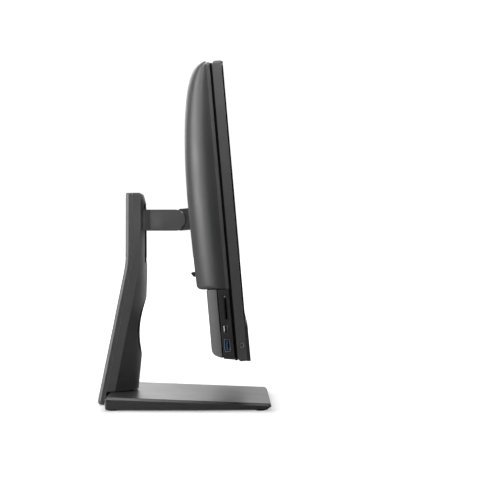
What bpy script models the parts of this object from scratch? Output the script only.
"""All-in-one desktop computer on a height adjustable, tilting stand.

The screen faces -Y, +Z is up, x = 0 is the middle of the screen and the desk is
z = 0. Left and right are the user's: left is -X. The stand is built in world
coordinates and the carriage about the tilt hinge. The head (display and
computer) is also built about the hinge, square to its own frame, and hangs
under an empty that carries its rest tilt.
All dimensions are in millimetres; SCALE turns them into metres.
"""

import math

import bmesh
import bpy
from mathutils import Vector

SCALE = 0.001
GAP = 0.35              # clearance between fitted pieces
SIDES = (("left", -1), ("right", 1))

# ---------------------------------------------------------------- stand
HINGE_Y = 12.8          # tilt hinge above the base
HINGE_Z = 236.9
REST_TILT = 5.02        # degrees, screen leaning back at rest

BASE_W = 242.0
BASE_BACK = 96.0
BASE_FRONT = -109.6
BASE_TOP_BACK = 17.2
BASE_TOP_FRONT = 9.2
BASE_BOTTOM = 1.8
BASE_PLATE_HALF = BASE_W / 2 - 5.0
BASE_SCREW_Y = 76.0
FOOT_R = 6.0
FOOT_X = 110.0
FOOT_ENDS = (("front", -96.0), ("rear", 87.0))      # name, y

RISER_TOP = 271.6
RISER_BACK = 74.5       # back line of the riser, upper straight
RISER_SLOPE = 0.194     # backward slope of the lower riser
RISER_BEND = 182.0      # height of the bend between the two
BEND_BLEND = 14.0       # height over which the bend is smoothed, to either side
RISER_SIDE = 18.2       # depth of the riser's side
RISER_SEAM = 8.2        # parting line ahead of the back line
RISER_HALF_TOP = 40.0
RISER_HALF_FOOT = 54.0
RISER_WALL = 2.0
NOSE_LINE = ((17.4, 60.9), (137.7, 50.8))   # (z, y) along the lower front
NOSE_UPPER_Y = 50.3     # front above that line
NOSE_ROUND_Z = 250.0    # the front rounds backwards above this height
NOSE_ROUND = 7.5        # by this much
BULGE_POWER = 2.1       # larger makes the front flatter in the middle
SIDE_SHARE = 0.12       # share of the front cover's columns on each side wall
RISER_COLUMNS = 25
FRONT_ROWS = (          # z; the front cover stands on the base
    17.9, 40, 66, 92, 118, 137.7, 154, 168, 182, 196, 216, 236, 250, 259, 265, 269.2, RISER_TOP,
)
REAR_ROWS = (           # z
    0.9, 2.6, 8.0, 30, 66, 102, 138, 160, 172, 182, 192, 204, 236, 262, 269.4, RISER_TOP,
)
HOLE_HALF = 30.0        # cable hole
HOLE_Z = (61.5, 137.5)
SLEEVE_INSETS = (0.8, 2.4)      # outer and inner face of the lining, inside the hole
SPINE_T = 2.2
SPINE_LINE = [          # (y, z) from inside the base to the top of the riser
    (62.0, 6.4), (90.6, 6.4), (90.6, 24.0), (87.6, 62.0), (69.6, 190.0), (69.6, 266.0),
]
RAIL_X = 31.0
RAIL_Y = 61.5
RAIL_R = 2.4
DRUM_CENTRE = (64.2, 156.5)     # (y, z)

# ---------------------------------------------------------------- carriage
ARM_HALF = 22.3
ARM_R = 13.5
ARM_ROOT_Y = 57.2       # world y of the back of the arm beam
SLOT_HALF = 23.6
TRAVEL_DOWN = 40.0
TRAVEL_UP = 5.0
TRAVEL_SPARE = 2.0      # slot length beyond the travel, at each end
PIN_R = 4.0
KNUCKLE_R = 10.8
KNUCKLE_HALF = 10.0
CHEEK = 12.2            # inner face of the arm's fork
WING = 33.0             # half width of the arm's flared root
WING_INNER = 20.4
WING_FRONT = [          # (x, world y) from the arm outwards
    (WING_INNER, 44.6), (ARM_HALF, 44.6), (24.4, 47.6), (28.0, 50.0), (WING, 51.6),
]

# ---------------------------------------------------------------- head
HEAD_HALF = 540.0 / 2   # half width
HEAD_TOP = 344.0 / 2    # half height of the display module
FRONT_Y = -77.8         # cover glass
GLASS_BACK = FRONT_Y + 1.4
MODULE_BACK = -65.3     # back of the display module
STRIP_FRONT = -62.4     # frame strip behind the shadow gap
SEAM_Y = -58.6          # seam between frame strip and rear cover
CHIN_TOP = -129.4
BEZEL = 6.2
POCKET_BACK = -67.4     # floor of the pockets in the bezel
PANEL_W = 527.0
PANEL_TOP = HEAD_TOP - 3.6
PANEL_BOTTOM = PANEL_TOP - 296.5

COVER_DEPTH = 38.1      # how far the rear cover stands behind its seam
COVER_DEEPEST_Z = 10.0
COVER_TOP = 173.0
COVER_BOTTOM = -87.5
COVER_HALF = 268.0
COVER_FLAT = 222.0      # beyond this the rear cover rounds off to the side
COVER_WALL = 2.2
DOME_POWERS = (1.741, 0.30)     # inner and outer power of the curve up to the top edge
COVER_FALL = 2.2        # depth lost from the deepest height to the bottom edge
COVER_FALL_POWER = 1.5
EDGE_HEIGHT = 5.0       # rounding of the bottom edge
EDGE_DEPTH = 6.0
CROWN = 0.073           # share of the depth lost from the middle to COVER_FLAT
CROWN_POWER = 2.5
VENTS = 11              # on each side
VENT_X = 92.0           # innermost vent
VENT_PITCH = 11.0

MOUNT_HALF = 60.0
WINDOW_HALF = MOUNT_HALF + 0.5
MOUNT_SCREWS = ((-50, -50), (50, -50), (50, 50), (-50, 50))     # (x, z)

SLOTS = 4               # speaker slots on each side
SLOT_PITCH = 4.0
JACK_CENTRE = (-71.6, -153.6)   # (y, z)
JACK_R = 3.0
BUTTON_CENTRE = (-55.0, -152.0)

LOWER_BACK = -36.2      # lower rear shell
LOWER_INNER = LOWER_BACK - 2.4
LOWER_SEAM = -48.0
LOWER_TOP = COVER_BOTTOM - 0.5
LOWER_CURVE = [         # (y, z) up the outside of the lower back
    (-46.8, -165.9), (-40.0, -163.2), (-37.2, -161.2), (LOWER_BACK, -157.5),
    (LOWER_BACK, LOWER_TOP),
]
END_ROUND = [           # (x, y) around the right end of the lower shell
    (272.0, -58.0), (268.4, -49.0), (267.4, -45.4), (265.0, -42.2), (261.0, -39.4),
    (255.0, -37.3), (246.0, -36.0), (246.0, -30.0), (272.0, -30.0),
]
BAY_HALF = 92.0         # rear connector bay
BAY_Z = (-148.0, -104.0)
PORT_Z = sum(BAY_Z) / 2

BOARD_FRONT = -55.8     # y of the front of the heat sink and the fan
SINK_X = (-196.0, -136.0)
FINS = 9
FIN_PITCH = (SINK_X[1] - SINK_X[0]) / (FINS - 1) * 0.985
FIN_T = 1.6
FIN_ROOT, FIN_TIP = -52.6, -42.0
FAN_X = -166.0
FAN_Z = 86.0
FAN_R = 24.0
FAN_HUB_R = 11.0
FAN_POST_R = 1.6
FAN_FLOOR = -54.4
BLADES = 9

# ---------------------------------------------------------------- scene setup
for old in list(bpy.data.objects):
    bpy.data.objects.remove(old, do_unlink=True)


def collection(name):
    made = bpy.data.collections.new(name)
    bpy.context.scene.collection.children.link(made)
    return made


PARTS = collection("all_in_one_pc")
CUTTERS = collection("cutters")


def material(name, colour, roughness, metallic=0.0):
    mat = bpy.data.materials.new(name)
    mat.use_nodes = True
    shader = mat.node_tree.nodes["Principled BSDF"]
    shader.inputs["Base Color"].default_value = (*colour, 1.0)
    shader.inputs["Roughness"].default_value = roughness
    shader.inputs["Metallic"].default_value = metallic
    return mat


GREY = material("charcoal_plastic", colour=(0.060, 0.061, 0.064), roughness=0.45)
DARK = material("black_plastic", colour=(0.018, 0.018, 0.019), roughness=0.45)
SATIN = material("satin_base_paint", colour=(0.105, 0.106, 0.110), roughness=0.40)
GLASS = material("screen_glass", colour=(0.010, 0.010, 0.012), roughness=0.06)
STEEL = material("zinc_steel", colour=(0.50, 0.50, 0.51), roughness=0.35, metallic=1.0)
CHROME = material("connector_metal", colour=(0.70, 0.70, 0.71), roughness=0.20, metallic=1.0)
BOARD = material("circuit_board", colour=(0.02, 0.10, 0.05), roughness=0.55)
ALU = material("aluminium", colour=(0.60, 0.60, 0.61), roughness=0.35, metallic=1.0)
RUBBER = material("rubber", colour=(0.015, 0.015, 0.015), roughness=0.85)


def empty(name, y, z, parent=None, tilt=0.0):
    frame = bpy.data.objects.new(name, None)
    frame.location = (0, y * SCALE, z * SCALE)
    frame.rotation_euler = (math.radians(tilt), 0, 0)
    frame.parent = parent
    PARTS.objects.link(frame)
    return frame


CARRIAGE = empty("height_axis", HINGE_Y, HINGE_Z)
HEAD = empty("tilt_axis", 0, 0, parent=CARRIAGE, tilt=-REST_TILT)


# ---------------------------------------------------------------- spans and outlines
def about(centre, half):
    return (centre - half, centre + half)


def both(half):
    return (-half, half)


def on_side(side, inner, outer):
    """Span from inner to outer on one side of x = 0; side is -1 or 1."""
    return tuple(sorted((side * inner, side * outer)))


def arc(centre_x, centre_y, radius, start, end, steps):
    angles = [math.radians(start + (end - start) * i / steps) for i in range(steps + 1)]
    return [(centre_x + radius * math.cos(a), centre_y + radius * math.sin(a)) for a in angles]


def rounded(x, y, radii, steps=4):
    """Rectangle over two spans, with one radius or one for each corner:
    low-low, high-low, high-high, low-high."""
    if not isinstance(radii, tuple):
        radii = (radii,) * 4
    corners = ((0, 0, 180), (1, 0, 270), (1, 1, 0), (0, 1, 90))
    points = []
    for (x_end, y_end, start), radius in zip(corners, radii):
        centre_x = x[x_end] + (-radius if x_end else radius)
        centre_y = y[y_end] + (-radius if y_end else radius)
        points += arc(centre_x, centre_y, radius, start, start + 90, steps)
    return points


def oval(half, low, high, steps=32):
    """Ellipse about x = 0 from low to high."""
    middle, tall = (low + high) / 2, (high - low) / 2
    angles = [2 * math.pi * i / steps for i in range(steps)]
    return [(half * math.cos(a), middle + tall * math.sin(a)) for a in angles]


def thickened(line, thickness):
    """Outline of a strip that lies to the left of a polyline."""
    edge = []
    for i, (x, y) in enumerate(line):
        before = line[max(0, i - 1)]
        after = line[min(len(line) - 1, i + 1)]
        arrive = Vector((x - before[0], y - before[1]))
        leave = Vector((after[0] - x, after[1] - y))
        arrive = arrive.normalized() if arrive.length else leave.normalized()
        leave = leave.normalized() if leave.length else arrive
        mean = (arrive + leave).normalized()
        mitre = thickness / max(0.3, mean.dot(arrive))
        edge.append((x - mean.y * mitre, y + mean.x * mitre))
    return line + edge[::-1]


# ---------------------------------------------------------------- solids
# A solid without a material is a helper: it goes among the cutters.
OUTLINE_TURN = {"X": (math.pi / 2, 0, math.pi / 2), "Y": (math.pi / 2, 0, 0), "Z": (0, 0, 0)}
ROD_TURN = {"X": (0, math.pi / 2, 0), "Y": (math.pi / 2, 0, 0), "Z": (0, 0, 0)}


def to_mesh(name, build):
    mesh = bpy.data.meshes.new(name)
    build.to_mesh(mesh)
    build.free()
    return mesh


def smooth(mesh, angle):
    mesh.shade_smooth()
    mesh.set_sharp_from_angle(angle=math.radians(angle))


def place(name, mesh, parent, mat):
    piece = bpy.data.objects.new(name, mesh)
    piece.parent = parent
    if mat is None:
        CUTTERS.objects.link(piece)
        piece.hide_render = True
        piece.display_type = "WIRE"
    else:
        PARTS.objects.link(piece)
        mesh.materials.append(mat)
    return piece


def move(piece, axis, centre, span):
    """Put a piece at the middle of its span; centre holds its two other coordinates."""
    middle = list(centre)
    middle.insert("XYZ".index(axis), (span[0] + span[1]) / 2)
    piece.location = [value * SCALE for value in middle]


def bevel(piece, width, segments=1, angle=40):
    modifier = piece.modifiers.new("bevel", "BEVEL")
    modifier.width = width * SCALE
    modifier.segments = segments
    modifier.limit_method = "ANGLE"
    modifier.angle_limit = math.radians(angle)


def box(name, x, y, z, parent=None, mat=None, round_by=0.0):
    """A box between the low and high values of x, y and z."""
    build = bmesh.new()
    bmesh.ops.create_cube(build, size=1.0)
    size = [(high - low) * SCALE for low, high in (x, y, z)]
    bmesh.ops.scale(build, vec=size, verts=build.verts)
    piece = place(name, to_mesh(name, build), parent, mat)
    piece.location = [(low + high) / 2 * SCALE for low, high in (x, y, z)]
    if round_by:
        bevel(piece, round_by)
    return piece


def outline(name, loops, span, axis, parent=None, mat=None):
    """A flat outline, extruded along an axis over span. Its points are (y, z)
    for axis X, (x, z) for axis Y and (x, y) for axis Z. Later loops are holes.
    Along Y the extrusion is symmetric, so its turned direction doesn't matter."""
    curve = bpy.data.curves.new(name, "CURVE")
    curve.dimensions = "2D"
    curve.fill_mode = "BOTH"
    curve.extrude = (span[1] - span[0]) / 2 * SCALE
    for loop in loops:
        spline = curve.splines.new("POLY")
        spline.points.add(len(loop) - 1)
        for point, (x, y) in zip(spline.points, loop):
            point.co = (x * SCALE, y * SCALE, 0, 1)
        spline.use_cyclic_u = True
    flat = bpy.data.objects.new(name + "_outline", curve)
    bpy.context.scene.collection.objects.link(flat)
    graph = bpy.context.evaluated_depsgraph_get()
    mesh = bpy.data.meshes.new_from_object(flat.evaluated_get(graph))
    mesh.name = name
    bpy.data.objects.remove(flat, do_unlink=True)
    # weld the faces to the extruded edge
    build = bmesh.new()
    build.from_mesh(mesh)
    bmesh.ops.remove_doubles(build, verts=build.verts, dist=1e-6)
    bmesh.ops.recalc_face_normals(build, faces=build.faces)
    build.to_mesh(mesh)
    build.free()
    piece = place(name, mesh, parent, mat)
    piece.rotation_euler = OUTLINE_TURN[axis]
    move(piece, axis, (0, 0), span)
    return piece


def rod(name, axis, centre, radius, span, parent=None, mat=None, sides=24):
    """A cylinder along an axis; centre holds the two other coordinates in order."""
    build = bmesh.new()
    bmesh.ops.create_cone(
        build, cap_ends=True, segments=sides, radius1=radius * SCALE, radius2=radius * SCALE,
        depth=(span[1] - span[0]) * SCALE,
    )
    mesh = to_mesh(name, build)
    smooth(mesh, 35)
    piece = place(name, mesh, parent, mat)
    piece.rotation_euler = ROD_TURN[axis]
    move(piece, axis, centre, span)
    return piece


def sheet(name, across, up, where, thickness, parent=None, mat=None, offset=-1.0):
    """A shell over a grid with a vertex at where(a, z) for each a in across, z in up."""
    columns, rows = len(across) - 1, len(up) - 1
    build = bmesh.new()
    bmesh.ops.create_grid(build, x_segments=columns, y_segments=rows, size=0.5)
    for vertex in build.verts:
        column = round((vertex.co.x + 0.5) * columns)
        row = round((vertex.co.y + 0.5) * rows)
        vertex.co = Vector(where(across[column], up[row])) * SCALE
    mesh = to_mesh(name, build)
    smooth(mesh, 40)
    piece = place(name, mesh, parent, mat)
    modifier = piece.modifiers.new("shell", "SOLIDIFY")
    modifier.thickness = thickness * SCALE
    modifier.offset = offset
    modifier.use_even_offset = False
    return piece


def cut(piece, others, operation="DIFFERENCE"):
    for other in others:
        modifier = piece.modifiers.new(operation.lower(), "BOOLEAN")
        modifier.operation = operation
        modifier.solver = "EXACT"
        modifier.object = other


def join(piece, others):
    cut(piece, others, "UNION")


# ================================================================= BASE
def base_top(y):
    slope = (BASE_TOP_BACK - BASE_TOP_FRONT) / (BASE_BACK - BASE_FRONT)
    return BASE_TOP_FRONT + slope * (y - BASE_FRONT)


def foot_cutters(name, radius, span, sides):
    return [
        rod("%s_%d_%d" % (name, side, y), "Z", (side * FOOT_X, y), radius, span, sides=sides)
        for _, side in SIDES for _, y in FOOT_ENDS
    ]


def build_base_cover():
    profile = [         # (y, z), with the corners taken off
        (BASE_BACK - 1.5, BASE_BOTTOM), (BASE_BACK, BASE_BOTTOM + 1.5),
        (BASE_BACK, base_top(BASE_BACK) - 2.0), (BASE_BACK - 2.0, base_top(BASE_BACK)),
        (BASE_FRONT + 1.2, base_top(BASE_FRONT)), (BASE_FRONT, BASE_TOP_FRONT - 1.8),
        (BASE_FRONT + 5.0, BASE_BOTTOM),
    ]
    cover = outline("base_cover", [profile], both(BASE_W / 2), "X", mat=SATIN)
    bevel(cover, width=1.6, segments=2, angle=50)
    cut(cover, [
        box("base_pocket", x=both(BASE_PLATE_HALF + 1), y=(BASE_FRONT + 9.0, BASE_BACK - 4.5),
            z=(0.0, 6.2)),
        box("base_foot_opening", x=both(37.6), y=(56.0, BASE_BACK - 3.0), z=(5.0, 30.0)),
    ])
    cut(cover, foot_cutters("foot_seat", FOOT_R + GAP, (-1.0, 3.9), sides=20))


def build_base_plate():
    shape = rounded(both(BASE_PLATE_HALF), (BASE_FRONT + 10.0, BASE_BACK - 5.4), 4.0, 2)
    plate = outline("base_plate", [shape], (3.9, 5.9), "Z", mat=STEEL)
    cut(plate, [rod("base_screw_hole", "Z", (0, BASE_SCREW_Y), 3.5, (0, 12))])
    cut(plate, foot_cutters("plate_relief", FOOT_R + 2.0, (-1.0, 12), sides=16))


def build_base_screw():
    screw = rod("base_screw", "Z", (0, BASE_SCREW_Y), 3.0, (2.6, 8.2), mat=STEEL)
    join(screw, [rod("base_screw_head", "Z", (0, BASE_SCREW_Y), 9.0, (2.1, 3.5))])


def build_feet():
    for side_name, side in SIDES:
        for end, y in FOOT_ENDS:
            rod("foot_%s_%s" % (end, side_name), "Z", (side * FOOT_X, y), FOOT_R, (0.0, 3.5),
                mat=RUBBER, sides=20)


# ================================================================= RISER
def riser_back(z):
    """Back line of the riser: straight above the bend, sloping back below it."""
    below = RISER_BEND - z
    if below <= -BEND_BLEND:
        run = 0.0
    elif below >= BEND_BLEND:
        run = below
    else:
        run = (below + BEND_BLEND) ** 2 / (4 * BEND_BLEND)
    return RISER_BACK + RISER_SLOPE * run


def riser_half(z):
    return RISER_HALF_FOOT + (RISER_HALF_TOP - RISER_HALF_FOOT) * z / RISER_TOP


def riser_nose(z):
    """Centre line of the bulged front of the riser."""
    (low_z, low_y), (high_z, high_y) = NOSE_LINE
    if z < high_z:
        return low_y + (high_y - low_y) * (z - low_z) / (high_z - low_z)
    over = max(0.0, z - NOSE_ROUND_Z) / (RISER_TOP - NOSE_ROUND_Z)
    return NOSE_UPPER_Y + NOSE_ROUND * (1 - math.sqrt(max(0.0, 1 - over * over)))


def bulge(nose, side_y, share):
    """Front surface, from the nose at share 0 to the side's front edge at -1 and 1."""
    return nose + (side_y - nose) * abs(share) ** BULGE_POWER


def riser_front_point(share, z):
    """share runs along one side wall, over the bulge and along the other wall."""
    half = riser_half(z)
    side_y = riser_back(z) - RISER_SIDE
    seam = riser_back(z) - RISER_SEAM + 0.15
    nose = riser_nose(z)
    if z == RISER_TOP:
        side_y, nose = seam - 3.0, seam - 3.5
        half -= 1.5
    if share < SIDE_SHARE:
        return (-half, seam + (side_y - seam) * share / SIDE_SHARE, z)
    if share > 1 - SIDE_SHARE:
        return (half, side_y + (seam - side_y) * (share - 1 + SIDE_SHARE) / SIDE_SHARE, z)
    across = (share - 0.5) / (0.5 - SIDE_SHARE)
    return (half * across, bulge(nose, side_y, across), z)


def riser_rear_point(corner, z):
    """corner counts the points of the U-shaped section from the left seam."""
    half, back = riser_half(z), riser_back(z)
    seam = back - RISER_SEAM + 0.55
    if z == REAR_ROWS[0]:
        back -= 3.0
    if z == RISER_TOP:
        back -= 2.6
        half -= 1.0
    chamfer = 2.0
    right = [(half / 2, back), (half - chamfer, back), (half, back - chamfer), (half, seam)]
    section = [(-x, y) for x, y in right[::-1]] + right
    return (*section[corner], z)


def build_riser_covers():
    columns = [i / RISER_COLUMNS for i in range(RISER_COLUMNS + 1)]
    front = sheet("riser_front_cover", columns, FRONT_ROWS, riser_front_point, RISER_WALL,
                  mat=GREY)
    rear = sheet("riser_rear_cover", range(8), REAR_ROWS, riser_rear_point, RISER_WALL,
                 mat=GREY, offset=1.0)
    hole = outline("cable_hole_cut", [oval(HOLE_HALF, *HOLE_Z)], (30.0, 130.0), "Y")
    slot_z = (HINGE_Z - ARM_R - TRAVEL_DOWN - TRAVEL_SPARE,
              HINGE_Z + ARM_R + TRAVEL_UP + TRAVEL_SPARE)
    slot = outline("arm_slot_cut", [rounded(both(SLOT_HALF), slot_z, 4.0, 3)], (30.0, 64.0), "Y")
    cut(front, [hole, slot])
    cut(rear, [hole])


def build_riser_spine():
    """Bent steel plate from the foot inside the base up to the top of the riser."""
    spine = outline("riser_spine", [thickened(SPINE_LINE, SPINE_T)], both(36.8), "X", mat=STEEL)
    cut(spine, [
        box("spine_window", x=both(30.6), y=(60.0, 120.0), z=(HOLE_Z[0] - 4, HOLE_Z[1] + 4)),
        rod("spine_screw_bore", "Z", (0, BASE_SCREW_Y), 3.4, (0, 30)),
    ])


def build_cable_sleeve():
    """Lining of the cable hole, between the front and the rear cover."""
    loops = [oval(HOLE_HALF - inset, HOLE_Z[0] + inset, HOLE_Z[1] - inset)
             for inset in SLEEVE_INSETS]
    sleeve = outline("cable_sleeve", loops, (30.0, 130.0), "Y", mat=DARK)
    front_trim = [(10, 40), (66.0, 40), (60.0, 160), (10, 160)]         # (y, z)
    rear_trim = [(96.8, 40), (150, 40), (150, 160), (73.6, 160)]
    cut(sleeve, [
        outline("sleeve_front_trim", [front_trim], both(60), "X"),
        outline("sleeve_rear_trim", [rear_trim], both(60), "X"),
    ])


def build_lift():
    """Guide rails of the carriage and the spring drum below it."""
    for side_name, side in SIDES:
        rod("guide_rail_" + side_name, "Z", (side * RAIL_X, RAIL_Y), RAIL_R, (152.0, 266.0),
            mat=STEEL, sides=16)
    drum = rod("spring_drum", "X", DRUM_CENTRE, 6.0, both(17.0), mat=STEEL, sides=28)
    cut(drum, [rod("drum_bore", "X", DRUM_CENTRE, 2.2, both(40), sides=16)])


# ================================================================= CARRIAGE
def from_hinge(y):
    """World y in the carriage's frame."""
    return y - HINGE_Y


def arm_profile(root_y):
    """(y, z) of the arm: round about the hinge, square at its root."""
    root = from_hinge(root_y)
    return arc(0, 0, ARM_R, 90, 270, 20) + [(root, -ARM_R), (root, ARM_R)]


def pin_bore(name, parent):
    return rod(name, "X", (0, 0), PIN_R + GAP, both(30), parent)


def build_carriage_block():
    block = box("carriage_block", x=both(35.0), y=(from_hinge(57.6), from_hinge(66.6)),
                z=(-24.0, 26.0), parent=CARRIAGE, mat=STEEL, round_by=0.8)
    cut(block, [
        rod("rail_bore_%d" % side, "Z", (side * RAIL_X, from_hinge(RAIL_Y)), RAIL_R + GAP,
            both(60), CARRIAGE, sides=16)
        for _, side in SIDES
    ])


def build_arm_beam():
    beam = outline("arm_beam", [arm_profile(ARM_ROOT_Y)], both(20.0), "X", CARRIAGE, STEEL)
    cut(beam, [
        box("arm_fork_slot", x=both(CHEEK), y=(-20.0, 14.0), z=both(20.0), parent=CARRIAGE),
        pin_bore("arm_pin_bore", CARRIAGE),
    ])


def front_skin(x, z):
    """Outer surface of the riser's front at x and z."""
    return bulge(riser_nose(z), riser_back(z) - RISER_SIDE, x / riser_half(z))


def build_arm_side(side_name, side):
    """Side cover of the arm, flaring into a wing that lies just ahead of the riser."""
    cover = outline("arm_side_cover_" + side_name, [arm_profile(50.2)],
                    on_side(side, 20.35, ARM_HALF), "X", CARRIAGE, GREY)
    wing = WING_FRONT + [(x, front_skin(x, HINGE_Z) - 0.7)
                         for x in (WING, 29.0, 25.0, WING_INNER)]
    wing = [(side * x, from_hinge(y)) for x, y in wing]
    join(cover, [outline("arm_wing_" + side_name, [wing], both(ARM_R - 0.15), "Z", CARRIAGE)])


def build_washer(side_name, side):
    washer = rod("friction_washer_" + side_name, "X", (0, 0), 9.0,
                 on_side(side, KNUCKLE_HALF + GAP, CHEEK - GAP), CARRIAGE, STEEL)
    cut(washer, [pin_bore("washer_bore_" + side_name, CARRIAGE)])


def build_slot_shutter():
    """Plate that moves with the arm behind the slot in the riser."""
    shape = [(x, z - HINGE_Z) for x, z in (
        (-20.4, 174.5), (20.4, 174.5), (25.5, 183.0), (25.5, 258.0), (-25.5, 258.0),
        (-25.5, 183.0),
    )]
    arm_hole = rounded(both(ARM_HALF + 0.6), both(ARM_R + 0.6), 1.0, 2)
    outline("slot_shutter", [shape, arm_hole], (from_hinge(56.4), from_hinge(ARM_ROOT_Y)), "Y",
            CARRIAGE, DARK)


# ================================================================= HEAD MOUNT
def build_tilt_bracket():
    bracket = box("tilt_bracket", x=both(ARM_HALF), y=(-20.0, -6.4), z=(-12.5, 15.3),
                  parent=HEAD, mat=DARK, round_by=1.2)
    cut(bracket, [rod("bracket_cup", "X", (0, 0), ARM_R + 0.7, both(40), HEAD, sides=64)])
    join(bracket, [
        box("bracket_flange", x=both(40.0), y=(-22.1, -19.4), z=both(26.0), parent=HEAD),
        rod("bracket_knuckle", "X", (0, 0), KNUCKLE_R, both(KNUCKLE_HALF), HEAD),
        box("bracket_web", x=both(KNUCKLE_HALF), y=(-16.0, -2.0), z=both(8.0), parent=HEAD),
    ])
    cut(bracket, [pin_bore("bracket_bore", HEAD)])


def build_mount():
    """Stand plate, the hat-shaped bracket ahead of it and the four screws."""
    shape = rounded(both(MOUNT_HALF), both(MOUNT_HALF), 6.0, 3)
    plate = outline("stand_mount_plate", [shape], (-26.4, -22.6), "Y", HEAD, STEEL)
    hat = [(-74, -58.0), (-56, -58.0), (-56, -29.4), (56, -29.4), (56, -58.0), (74, -58.0)]
    bracket = outline("mount_bracket", [thickened(hat, 1.8)], both(58.0), "Z", HEAD, STEEL)
    for i, centre in enumerate(MOUNT_SCREWS, 1):
        screw = rod("mount_screw_%d" % i, "Y", centre, 2.0, (-36.0, -21.9), HEAD, STEEL, 16)
        join(screw, [rod("screw_head_%d" % i, "Y", centre, 4.0, (-22.3, -20.9), HEAD, sides=16)])
        hole = rod("screw_hole_%d" % i, "Y", centre, 2.4, (-50, 0), HEAD, sides=16)
        cut(plate, [hole])
        cut(bracket, [hole])


# ================================================================= REAR COVER
def cover_depth(z):
    """Depth of the rear cover behind its seam at height z, at the middle."""
    if z >= COVER_DEEPEST_Z:
        inner_power, outer_power = DOME_POWERS
        rise = min(1.0, (z - COVER_DEEPEST_Z) / (COVER_TOP - COVER_DEEPEST_Z))
        return COVER_DEPTH * max(0.0, 1 - rise ** inner_power) ** outer_power
    drop = (COVER_DEEPEST_Z - z) / (COVER_DEEPEST_Z - COVER_BOTTOM)
    depth = COVER_DEPTH - COVER_FALL * drop ** COVER_FALL_POWER
    corner = (COVER_BOTTOM + EDGE_HEIGHT - z) / EDGE_HEIGHT
    if corner > 0:
        depth -= EDGE_DEPTH * (1 - math.sqrt(max(0.0, 1 - min(1.0, corner) ** 2)))
    return depth


def side_round(x):
    """Share of the full depth left at x: a slight crown, then the rounding to the side."""
    past = max(0.0, (abs(x) - COVER_FLAT) / (COVER_HALF - COVER_FLAT))
    crown = 1 - CROWN * min(1.0, abs(x) / COVER_FLAT) ** CROWN_POWER
    return crown * math.sqrt(max(0.0, 1 - past * past))


def eased(steps, low, high, power=2.0):
    """Positions from low to high, closer together near high."""
    return [high - (high - low) * (1 - i / steps) ** power for i in range(steps + 1)]


def cover_point(x, z):
    return (x, SEAM_Y + cover_depth(z) * side_round(x), z)


def build_rear_cover():
    right = [0.0, 74.0, 148.0] + eased(6, COVER_FLAT, COVER_HALF)
    columns = [-x for x in right[:0:-1]] + right
    rows = [COVER_BOTTOM, -87.0, -85.5, -82.5, -40.0, COVER_DEEPEST_Z, 50.0, 85.0]
    rows += eased(7, 112.0, COVER_TOP, 1.7)
    cover = sheet("rear_cover", columns, rows, cover_point, COVER_WALL, HEAD, GREY, offset=1.0)
    through = (-50, 0)
    cut(cover, [box("seam_trim", x=both(300), y=(-80, SEAM_Y + 0.25), z=both(200), parent=HEAD)])
    cut(cover, [
        box("vent_%d_%d" % (side, i), x=about(side * (VENT_X + VENT_PITCH * i), 1.6),
            y=through, z=(96.0, 132.0), parent=HEAD)
        for _, side in SIDES for i in range(VENTS)
    ])
    window = rounded(both(WINDOW_HALF), both(WINDOW_HALF), 6.5, 3)
    cut(cover, [
        outline("mount_window", [window], through, "Y", HEAD),
        box("latch_slot", x=both(9.0), y=through, z=(-78.0, -66.0), parent=HEAD),
        box("webcam_notch", x=both(29.0), y=(-63.0, -58.1), z=(120.0, 180.0), parent=HEAD),
    ])


# ================================================================= DISPLAY
def build_mid_frame():
    """Structural frame whose edge shows as a strip behind the shadow gap."""
    outer = [           # (x, z); the webcam's bay is open at the top edge
        (-268.6, -88.0), (-261.2, -88.0), (-261.2, -162.6), (-258.8, -165.0),
        (258.8, -165.0), (261.2, -162.6), (261.2, -88.0), (268.6, -88.0),
        (268.6, 166.0), (263.6, 171.2), (28.5, 171.2), (28.5, 128.0),
        (-28.5, 128.0), (-28.5, 171.2), (-263.6, 171.2), (-268.6, 166.0),
    ]
    openings = [        # x span, z span
        ((-250, -82), (-78, 118)), ((82, 250), (-78, 118)),
        ((-250, -120), (-160, -98)), ((120, 250), (-160, -98)), ((-50, 50), (-50, 60)),
    ]
    loops = [outer] + [rounded(x, z, 6, 2) for x, z in openings]
    outline("mid_frame", loops, (STRIP_FRONT, SEAM_Y - 0.15), "Y", HEAD, GREY)


def build_gasket():
    """Foam that fills the shadow gap between the module and the frame."""
    loops = [rounded(both(257.0), (-163.0, 126.0), 6, 2), rounded(both(249), (-155, 116), 6, 2)]
    outline("display_gasket", loops, (MODULE_BACK + GAP, STRIP_FRONT - GAP), "Y", HEAD, RUBBER)


def build_webcam():
    webcam = box("webcam", x=both(28.0), y=(-64.6, -59.2), z=(132.0, 170.9), parent=HEAD,
                 mat=DARK, round_by=0.6)
    cut(webcam, [rod("lens_recess", "Y", (0, 161.0), 4.2, (-70, -63.6), HEAD)])


def build_front_bezel():
    shape = rounded(both(HEAD_HALF), both(HEAD_TOP), (7, 7, 5, 5))
    bezel = outline("front_bezel", [shape], (FRONT_Y + 1.8, MODULE_BACK), "Y", HEAD, GREY)
    pocket_y = (-90, POCKET_BACK)
    cut(bezel, [
        box("panel_pocket", x=both(HEAD_HALF - BEZEL + 0.4), y=pocket_y,
            z=(PANEL_BOTTOM - 0.4, PANEL_TOP + 0.4), parent=HEAD),
        box("chin_pocket", x=both(HEAD_HALF - 5.0), y=pocket_y,
            z=(-HEAD_TOP + 4.0, CHIN_TOP - 2.0), parent=HEAD),
        rod("jack_hole", "X", JACK_CENTRE, JACK_R + GAP, (-280, -262), HEAD),
    ])


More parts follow.
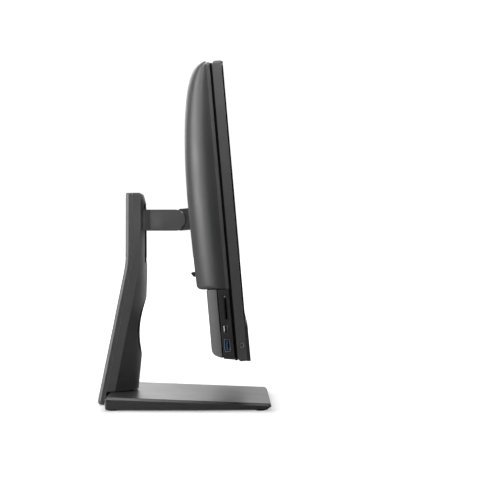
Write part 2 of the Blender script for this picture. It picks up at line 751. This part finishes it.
def build_screen():
    """Panel and the glass ahead of it."""
    box("lcd_panel", x=both(PANEL_W / 2), y=(-75.6, -67.9), z=(PANEL_BOTTOM, PANEL_TOP),
        parent=HEAD, mat=DARK)
    shape = rounded(both(HEAD_HALF - 0.5), (CHIN_TOP + 0.3, HEAD_TOP - 0.5), (0.5, 0.5, 5, 5))
    outline("cover_glass", [shape], (FRONT_Y, GLASS_BACK), "Y", HEAD, GLASS)


def build_chin():
    """Chin cover with its speaker slots, and the speakers."""
    shape = rounded(both(HEAD_HALF), (-HEAD_TOP - 0.5, CHIN_TOP), (7, 7, 0.6, 0.6))
    chin = outline("chin_cover", [shape], (FRONT_Y - 2.1, GLASS_BACK), "Y", HEAD, GREY)
    bevel(chin, width=0.9, segments=2, angle=60)
    for side_name, side in SIDES:
        for i in range(SLOTS):
            lift = SLOT_PITCH * i
            slot = rounded(on_side(side, 150, 210), (-163.5 + lift, -162.0 + lift), 0.7, 1)
            cut(chin, [outline("speaker_slot_%d_%d" % (side, i), [slot], (-90, -70), "Y", HEAD)])
        box("speaker_" + side_name, x=on_side(side, 148, 212), y=(-75.4, -68.0),
            z=(-166.0, -135.0), parent=HEAD, mat=DARK, round_by=1.0)


# ================================================================= LOWER BODY
def build_lower_shell():
    """Lower rear shell with solid ends, rounded off as the rear cover above is."""
    profile = [(-62.0, -168.6)] + LOWER_CURVE + [
        (LOWER_INNER, LOWER_TOP), (LOWER_INNER, -157.0), (-41.0, -160.8), (-47.6, -163.5),
        (-62.0, -166.0),
    ]
    shell = outline("lower_rear_shell", [profile], both(261.6), "X", HEAD, GREY)
    end = [(LOWER_SEAM, -166.2)] + LOWER_CURVE + [(LOWER_SEAM, LOWER_TOP)]
    for _, side in SIDES:
        join(shell, [outline("lower_end_%d" % side, [end], on_side(side, 259.0, 268.3), "X", HEAD)])
        curve = [(side * x, y) for x, y in END_ROUND]
        cut(shell, [outline("lower_round_%d" % side, [curve], (-180, -80), "Z", HEAD)])
    cut(shell, [outline("rear_bay", [rounded(both(BAY_HALF), BAY_Z, 4, 3)], (-44, -30), "Y", HEAD)])


def rear_port(name, x, half_width, half_height, mat, plate):
    """Body of a rear connector, let through the port plate."""
    clear = 0.4
    body = box(name, x=about(x, half_width), y=(-56.0, -37.6), z=about(PORT_Z, half_height),
               parent=HEAD, mat=mat)
    cut(plate, [box(name + "_hole", x=about(x, half_width + clear), y=(-44, -34),
                    z=about(PORT_Z, half_height + clear), parent=HEAD)])
    return body


def build_power_inlet(plate):
    x = -72.0
    body = rear_port("power_inlet", x, 13.0, 11.0, DARK, plate)
    cut(body, [box("inlet_mouth", x=about(x, 10.5), y=(-52, -30), z=about(PORT_Z, 8.4),
                   parent=HEAD)])
    join(body, [
        box("inlet_blade_%d" % i, x=about(x + 5.0 * i, 1.0), y=(-53, -41.5),
            z=about(PORT_Z, 2.0), parent=HEAD)
        for i in (-1, 0, 1)
    ])


def build_network_jack(plate):
    x = -30.0
    body = rear_port("network_jack", x, 8.2, 7.4, CHROME, plate)
    cut(body, [box("jack_mouth", x=about(x, 5.8), y=(-50, -30), z=(PORT_Z - 4.6, PORT_Z + 4.2),
                   parent=HEAD)])


def build_rear_usb(plate):
    """Two mouths, one above the other."""
    x, pitch = 12.0, 8.0
    body = rear_port("rear_usb_port", x, 7.2, 8.2, CHROME, plate)
    for i in (0, 1):
        lift = PORT_Z + pitch * (i - 1)
        cut(body, [box("usb_mouth_%d" % i, x=about(x, 6.2), y=(-50, -30),
                       z=(lift + 0.9, lift + 7.0), parent=HEAD)])


def build_rear_ports():
    plate = box("rear_port_plate", x=both(BAY_HALF + 4), y=(-40.4, -39.2),
                z=(BAY_Z[0] - 3, BAY_Z[1] + 3), parent=HEAD, mat=STEEL)
    build_power_inlet(plate)
    build_network_jack(plate)
    build_rear_usb(plate)


# Sockets in the left side panel: name, helper prefix, centre (y, z), material, x span,
# x of the mouth's floor, (y width, z height, corner radius) of the hole in the panel,
# the body and the mouth, and the x, y and z spans of the tongue.
SIDE_SOCKETS = (
    ("usb_a_port", "usb_a", (-54.7, -152.5), CHROME, (-268.4, -252.0), -256,
     (7.4, 14.9, 1.2), (6.6, 14.1, 0.9), (5.4, 12.7, 0.6),
     ((-267.4, -254.0), (-54.2, -52.4), (-158.0, -147.0))),
    ("usb_c_port", "usb_c", (-54.8, -134.2), CHROME, (-268.4, -256.0), -259,
     (4.5, 10.6, 2.1), (3.8, 9.8, 1.85), (2.8, 8.8, 1.35),
     ((-267.6, -258.0), (-55.15, -54.45), (-137.0, -131.4))),
    ("card_reader", "card", (-56.6, -110.6), DARK, (-268.2, -240.0), -243,
     (3.4, 25.2, 0.9), (2.7, 24.4, 0.6), (1.9, 23.4, 0.4), None),
)


def side_slot(name, centre, size, span, mat=None):
    """Rounded slot or plug along X."""
    width, height, corner = size
    shape = rounded(about(centre[0], width / 2), about(centre[1], height / 2), corner, 3)
    return outline(name, [shape], span, "X", HEAD, mat)


def build_side_panel(name, side):
    front, back = -62.0, LOWER_SEAM - GAP
    profile = [(front, -169.4), (back, -166.9), (back, COVER_BOTTOM - 0.6),
               (front, COVER_BOTTOM - 0.9)]
    return outline(name, [profile], on_side(side, 262.3, 268.6), "X", HEAD, DARK)


def build_left_connectors():
    panel = build_side_panel("side_io_panel", -1)
    for name, prefix, centre, mat, span, floor, hole, body, mouth, tongue in SIDE_SOCKETS:
        cut(panel, [side_slot(prefix + "_hole", centre, hole, (-280, -255))])
        socket = side_slot(name, centre, body, span, mat)
        cut(socket, [side_slot(prefix + "_mouth", centre, mouth, (-280, floor))])
        if tongue:
            join(socket, [box(prefix + "_tongue", *tongue, parent=HEAD)])


def build_audio_jack():
    jack = rod("audio_jack", "X", JACK_CENTRE, JACK_R, (-270.0, -258.0), HEAD, CHROME)
    cut(jack, [rod("jack_bore", "X", JACK_CENTRE, 1.8, (-280, -259.5), HEAD)])


def build_power_button():
    panel = build_side_panel("side_button_panel", 1)
    cut(panel, [rod("button_hole", "X", BUTTON_CENTRE, 4.9, (250, 280), HEAD)])
    rod("power_button", "X", BUTTON_CENTRE, 4.4, (263.4, 269.4), HEAD, GREY)


def build_latch():
    profile = [         # (y, z)
        (-30.0, -69.0), (-21.8, -69.0), (-15.4, -69.8), (-14.6, -70.4), (-14.8, -71.4),
        (-17.0, -73.2), (-21.0, -74.9), (-21.0, -72.6), (-30.0, -72.6),
    ]
    outline("release_latch", [profile], both(8.4), "X", HEAD, DARK)


# ================================================================= ELECTRONICS
def build_heat_sink():
    """Fins along Z, counted from the right."""
    left, right = SINK_X
    section = [(left, BOARD_FRONT), (right, BOARD_FRONT)]
    for i in range(FINS):
        x = right - i * FIN_PITCH
        if i:
            section.append((x, FIN_ROOT))
        section += [(x, FIN_TIP), (x - FIN_T, FIN_TIP), (x - FIN_T, FIN_ROOT)]
    section.append((left, FIN_ROOT))
    outline("heat_sink", [section], (-10.0, 50.0), "Z", HEAD, ALU)


def build_fan_housing():
    centre = (FAN_X, FAN_Z)
    shape = rounded(about(FAN_X, 29), about(FAN_Z, 29), 20, 5)
    housing = outline("fan_housing", [shape], (BOARD_FRONT, -42.6), "Y", HEAD, DARK)
    cut(housing, [
        rod("fan_well", "Y", centre, FAN_R + 2.0, (FAN_FLOOR, -30), HEAD, sides=36),
        box("fan_outlet", x=about(FAN_X, 18), y=(FAN_FLOOR, -30), z=(FAN_Z - 40, FAN_Z - 14),
            parent=HEAD),
    ])
    join(housing, [rod("fan_post", "Y", centre, FAN_POST_R, (-55.0, -46.0), HEAD, sides=16)])


def build_fan_rotor():
    # corners of one blade: degrees from its start, radius
    blade = ((0, FAN_HUB_R), (10, FAN_R), (15, FAN_R), (14, FAN_HUB_R))
    points = []
    for i in range(BLADES):
        for turn, radius in blade:
            angle = math.radians(360.0 * i / BLADES + turn)
            points.append((FAN_X + radius * math.cos(angle), FAN_Z + radius * math.sin(angle)))
    rotor = outline("fan_rotor", [points], (-53.6, -44.0), "Y", HEAD, GREY)
    cut(rotor, [rod("rotor_bore", "Y", (FAN_X, FAN_Z), FAN_POST_R + GAP, (-60, -40), HEAD,
                    sides=16)])


def build_boards():
    """Motherboard, memory, drive and power supply."""
    for name, x, y, z, mat, round_by in (
        ("motherboard", (-246.0, -84.0), (-57.8, -56.2), (-76.0, 116.0), BOARD, 0.0),
        ("memory_module", (-240.0, -206.0), (-55.4, -52.0), (-66.0, 2.0), BOARD, 0.0),
        ("storage_drive", (96.0, 196.0), (-57.4, -50.2), (36.0, 106.0), ALU, 0.8),
        ("power_supply", (90.0, 244.0), (-57.8, -32.0), (-74.0, 22.0), STEEL, 1.0),
    ):
        box(name, x, y, z, HEAD, mat, round_by)


# ================================================================= ASSEMBLY
build_base_cover()
build_base_plate()
build_base_screw()
build_feet()
build_riser_covers()
build_riser_spine()
build_cable_sleeve()
build_lift()

build_carriage_block()
build_arm_beam()
for arm_side in SIDES:
    build_arm_side(*arm_side)
    build_washer(*arm_side)
rod("hinge_pin", "X", (0, 0), PIN_R, both(19.8), CARRIAGE, STEEL)
build_slot_shutter()

build_tilt_bracket()
build_mount()
build_rear_cover()
build_mid_frame()
build_gasket()
build_webcam()
build_front_bezel()
build_screen()
build_chin()
build_lower_shell()
build_rear_ports()
build_left_connectors()
build_audio_jack()
build_power_button()
build_latch()
build_heat_sink()
build_fan_housing()
build_fan_rotor()
build_boards()
